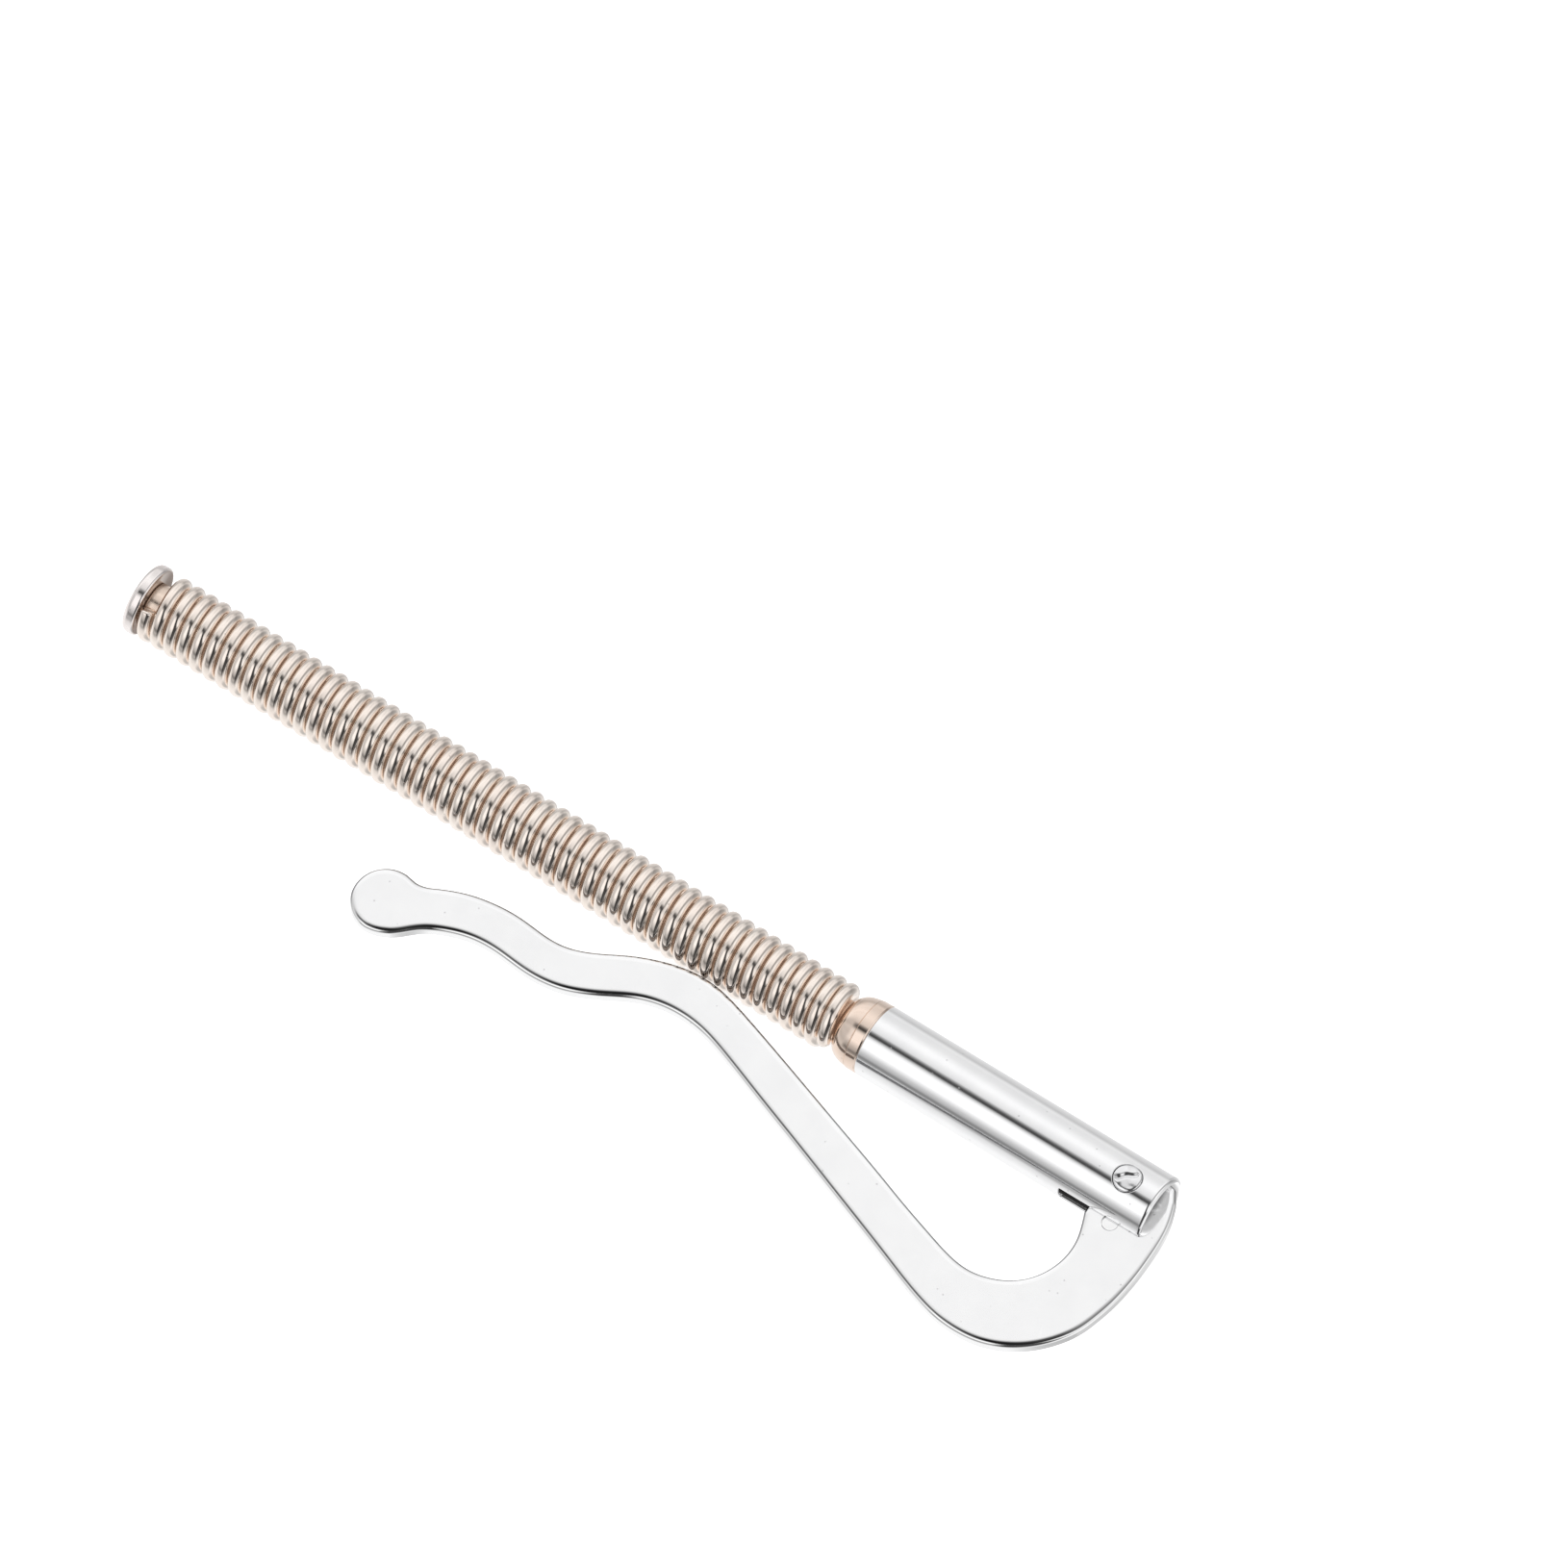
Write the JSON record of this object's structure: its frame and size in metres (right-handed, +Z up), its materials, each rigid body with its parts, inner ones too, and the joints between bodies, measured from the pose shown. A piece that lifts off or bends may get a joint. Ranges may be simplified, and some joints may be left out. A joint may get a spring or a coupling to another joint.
{
  "type": "sprung lever clip",
  "caption": "Round shaft of slotted sleeve and coil-wrapped rod; a J-shaped plate lever pivots in the sleeve and is sprung shut against the coil.",
  "frame": {"origin": "on the lever's pivot axis, at the shaft's centre line", "axes": "+X along the shaft towards the open end of the sleeve, +Y away from the lever, +Z up, normal to the lever plate"},
  "size_m": [0.0975, 0.0203, 0.0062],
  "materials": {
    "bright_plate": "bright plated, faint drawn lines",
    "rose_plate": "polished rose champagne plating",
    "rose_plate_dark": "satin rose champagne plating",
    "rose_wire": "polished rose champagne plated wire",
    "lever_plate": "bright plated sheet with faint orange peel and rounded punched edges",
    "rivet_steel": "formed bright steel",
    "plunger_steel": "dark oiled steel",
    "spring_steel": "drawn spring wire"
  },
  "bodies": {
    "shaft": {"sleeve": "bright_plate", "guide_ferrule": "rose_plate", "core_rod": "rose_plate_dark", "end_cap": "rose_plate", "coil_spring": "rose_wire", "pivot_rivet": "rivet_steel", "return_spring": "spring_steel"},
    "lever_arm": {"lever": "lever_plate"},
    "plunger_body": {"plunger": "plunger_steel"}
  },
  "joints": [
    {"name": "lever_pivot", "type": "hinge", "parent": "shaft", "child": "lever_arm", "pos_m": [0, 0, 0], "axis": [0, 0, 1], "range_deg": [0, 7]},
    {"name": "plunger_slide", "type": "slide", "parent": "shaft", "child": "plunger_body", "axis": [-1, 0, 0], "range_m": [0, 0.0002], "deforming": ["return_spring"]}
  ],
  "couplings": [
    {"joint": "plunger_slide", "follows": "lever_pivot", "m_per_rad": 0.00152}
  ]
}
